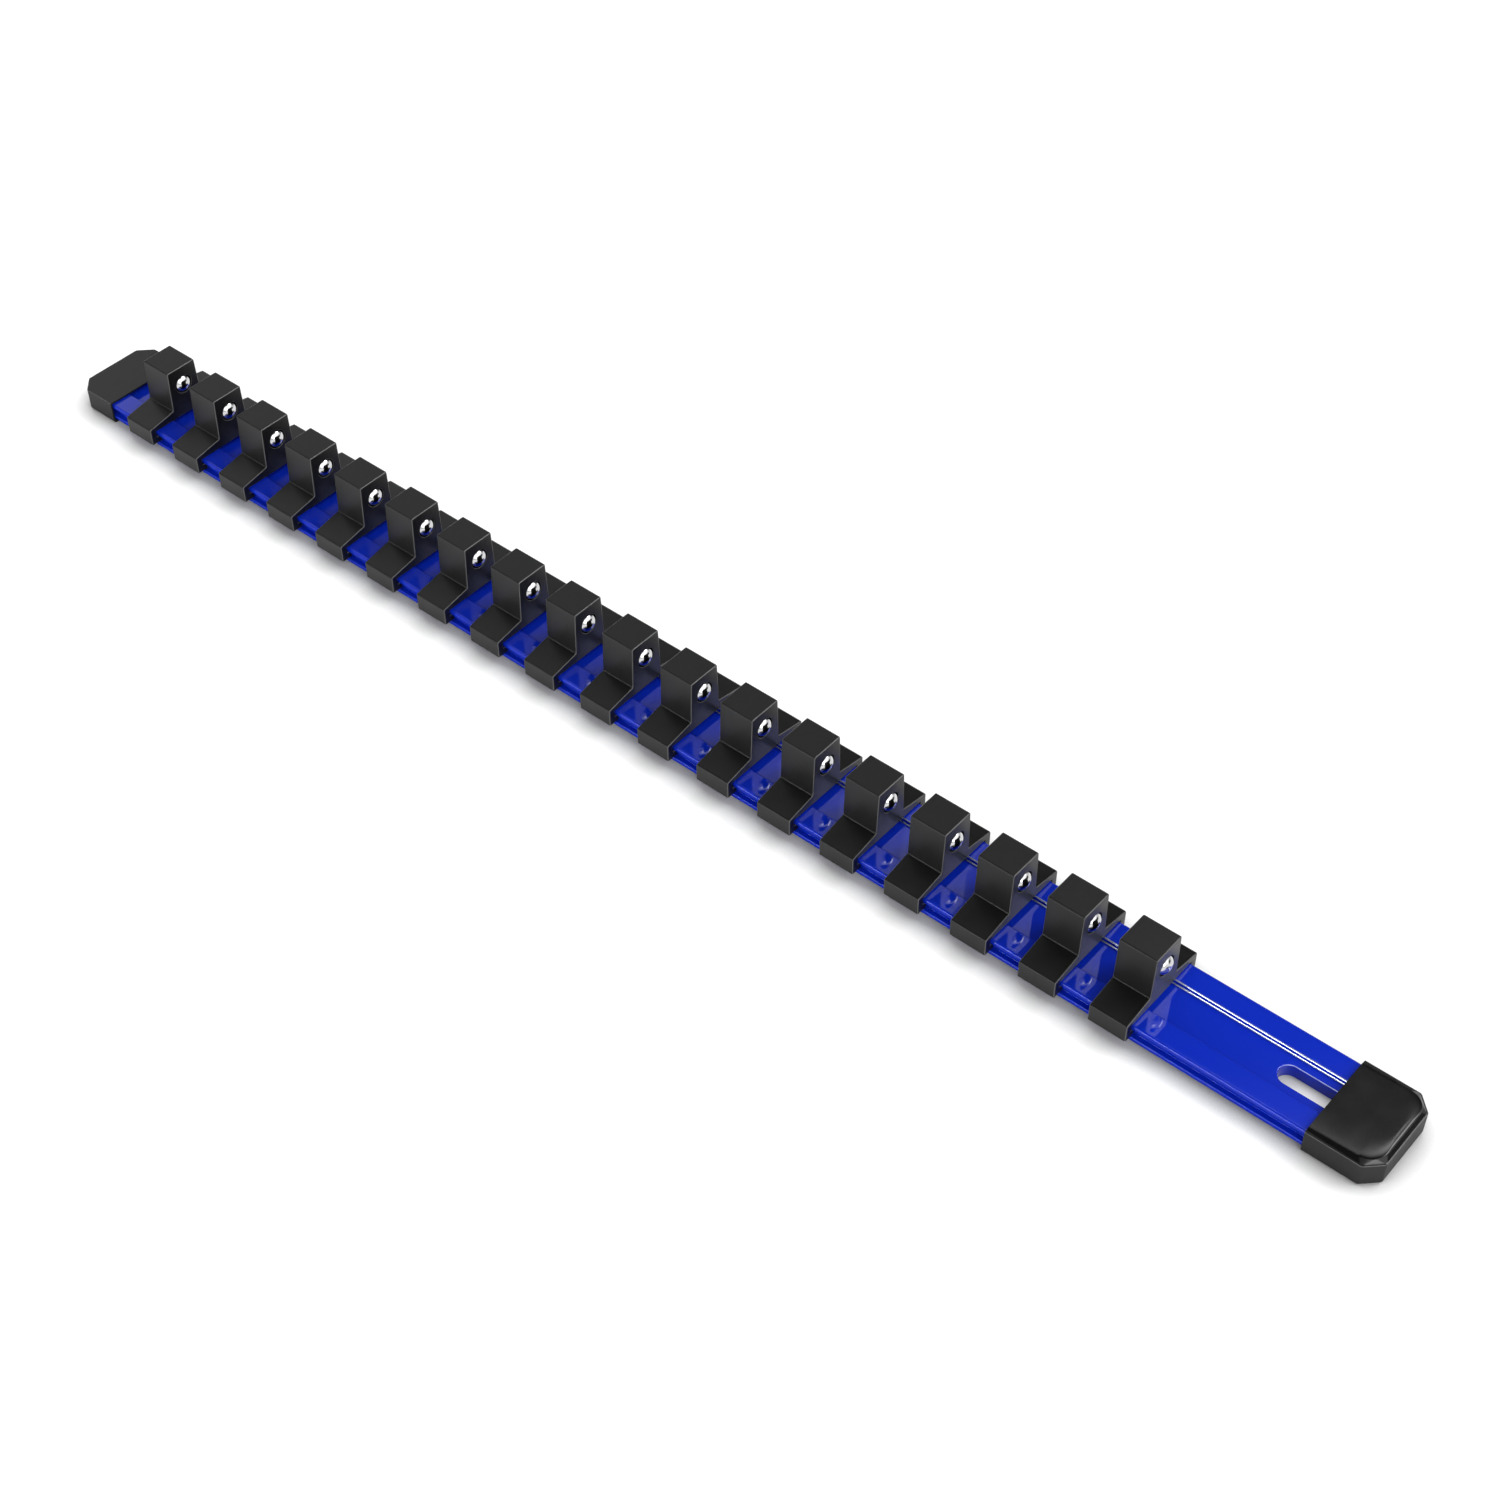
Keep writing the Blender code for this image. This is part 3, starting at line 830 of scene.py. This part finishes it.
def black_moulding(name, plastic, highlight_share):
    """Fine-grained black plastic, with a painted highlight in grey on the edges that the given
    share picks.
    """
    level, (top, ends, sides), gloss = plastic
    made = Shading(name)
    made.set("Specular IOR Level", gloss)
    cloud = made.noise(*MOULDED_CLOUD)
    shades = [grey(level * (1 + change)) for change in (-CLOUD_LEVEL_SPREAD, CLOUD_LEVEL_SPREAD)]
    black = made.varied(cloud, shades)
    # Painted highlight: the edges that the share picks turn grey
    made.set("Base Color", made.mixed(highlight_share(made), black, grey(EDGE_HIGHLIGHT_LEVEL)))
    endways = made.squared(made.part("Normal", "X"))
    walls = made.mapped(endways, 0.0, 1.0, sides, ends)
    upright = made.squared(made.part("Normal", "Z"))
    rough = made.mapped(upright, 0.0, TOP_FACE_FROM, walls, top)
    change = made.ranged(cloud, -CLOUD_ROUGHNESS_SPREAD, CLOUD_ROUGHNESS_SPREAD)
    made.set("Roughness", made.calculated("ADD", rough, change))
    made.bump(made.noise(*MOULDED_GRAIN), MOULDED_GRAIN_HEIGHT)
    return made.material


def clip_edge_highlight(made):
    """Where the painted highlight goes: the rounded edges of both faces of a clip."""
    return made.edge_share("X")


def cap_crease_highlight(made):
    """Where the painted highlight goes: the crease round the top of a cap's walls."""
    crease = CAP_TOP - CAP_CREASE_RADIUS / 2
    at_crease = made.nearness("Z", crease, CAP_CREASE_RADIUS)
    return made.calculated("MULTIPLY", made.edge_share("Z"), at_crease)


def bare_steel(name, marks, roughness, shades):
    """Bare metal whose working marks vary its roughness and its shade."""
    made = Shading(name)
    made.set("Metallic", 1.0)
    marks = made.noise(*marks)
    made.set("Roughness", made.ranged(marks, *roughness))
    made.set("Base Color", made.varied(marks, shades))
    return made.material


def make_floor():
    """A white floor that keeps the object's soft shadow, with a painted contact shadow, and clears
    to pure white in the picture.
    """
    made = Shading("floor")
    made.set("Base Color", grey(FLOOR_LEVEL))
    made.set("Roughness", 1.0)
    made.set("Specular IOR Level", 0.0)
    made.set("Emission Color", WHITE)
    rays = made.add("ShaderNodeLightPath").outputs
    seen = rays["Is Camera Ray"]
    for mirror_ray in ("Is Glossy Ray", "Is Transmission Ray"):
        seen = made.calculated("MAXIMUM", seen, rays[mirror_ray])
    contact = made.add("ShaderNodeAmbientOcclusion", samples=CONTACT_SAMPLES)
    made.give(CONTACT_REACH, contact.inputs["Distance"])
    made.give(CONTACT_LEAN, contact.inputs["Normal"])
    # Painted contact shadow: the added light fades where the object closes the leaned half sphere
    lift = made.mapped(contact.outputs["AO"], *CONTACT_SHARES, 0.0, FLOOR_LIFT)
    # Painted pool of light on the floor under the hanging slot
    pool = SLOT_POOL_LIFT
    for axis, middle, reach in SLOT_POOL:
        near = made.nearness(axis, middle, reach, kind="SMOOTHSTEP")
        pool = made.calculated("MULTIPLY", near, pool)
    total = made.calculated("ADD", lift, pool)
    made.set("Emission Strength", made.calculated("MULTIPLY", seen, total))

    shape = bmesh.new()
    bmesh.ops.create_grid(
        shape, x_segments=FLOOR_STEPS, y_segments=FLOOR_STEPS, size=FLOOR_REACH,
    )
    floor = new_object("floor", mesh_from("floor", shape))
    floor.data.materials.append(made.material)


def sky_curve(made):
    """The studio's light by height, as a curve of straight lines over the direction's Z."""
    ramp = made.add("ShaderNodeFloatCurve")
    made.give(made.part("Generated", "Z"), ramp.inputs["Value"])
    curve = ramp.mapping.curves[0]
    ramp.mapping.use_clip = False
    places = [(math.sin(math.radians(height)), level) for height, level in SKY_BY_HEIGHT]
    first, last = curve.points
    first.location = places[0]
    last.location = (1.0, places[-1][1])
    for place in places[1:]:
        curve.points.new(*place)
    for point in curve.points:
        point.handle_type = "VECTOR"
    ramp.mapping.update()
    return ramp.outputs["Value"]


def make_world():
    """A plain soft studio: bright walls under a dark ceiling, with a few soft patches."""
    world = bpy.data.worlds.new("studio")
    bpy.context.scene.world = world
    made = Nodes(world)
    light = sky_curve(made)
    for azimuth, height, inner, outer, change in SKY_PATCHES:
        turn = math.radians(azimuth)
        tilt = math.radians(height)
        middle = (math.cos(tilt) * math.cos(turn), math.cos(tilt) * math.sin(turn), math.sin(tilt))
        dot = made.add("ShaderNodeVectorMath", operation="DOT_PRODUCT")
        made.give(made.coordinates.outputs["Generated"], dot.inputs[0])
        made.give(middle, dot.inputs[1])
        patch = made.mapped(
            dot.outputs["Value"], math.cos(math.radians(outer)), math.cos(math.radians(inner)),
            1.0, 1.0 + change, kind="SMOOTHSTEP",
        )
        light = made.calculated("MULTIPLY", light, patch)
    background = made.tree.nodes["Background"]
    made.give(WHITE, background.inputs["Color"])
    made.give(light, background.inputs["Strength"])


def make_key():
    light = bpy.data.lights.new("key", "SUN")
    light.energy = KEY_STRENGTH
    light.angle = KEY_SPREAD
    new_object("key", light).rotation_euler = KEY_FROM.to_track_quat("Z", "Y").to_euler()


def make_camera():
    lens = bpy.data.cameras.new("photo_camera")
    lens.lens = CAMERA_LENS
    lens.sensor_width = CAMERA_SENSOR
    lens.clip_start = CAMERA_NEAREST
    lens.clip_end = CAMERA_FARTHEST
    camera = new_object("photo_camera", lens)
    forward = CAMERA_FORWARD.normalized()
    right = (CAMERA_RIGHT - forward * CAMERA_RIGHT.dot(forward)).normalized()
    up = right.cross(forward)
    turned = Matrix((right, up, -forward)).transposed().to_4x4()
    camera.matrix_world = Matrix.Translation(CAMERA_PLACE) @ turned
    bpy.context.scene.camera = camera


make_rail(blue_anodised())
make_clips(
    black_moulding("black_plastic", CLIP_PLASTIC, clip_edge_highlight),
    bare_steel("chrome_steel", STEEL_MARKS, STEEL_ROUGHNESS, STEEL_SHADES),
    bare_steel("spring_wire", WIRE_MARKS, WIRE_ROUGHNESS, WIRE_SHADES),
)
make_caps(black_moulding("black_cap_plastic", CAP_PLASTIC, cap_crease_highlight))
make_floor()
make_world()
make_key()
make_camera()
bpy.context.scene.view_settings.view_transform = "Standard"
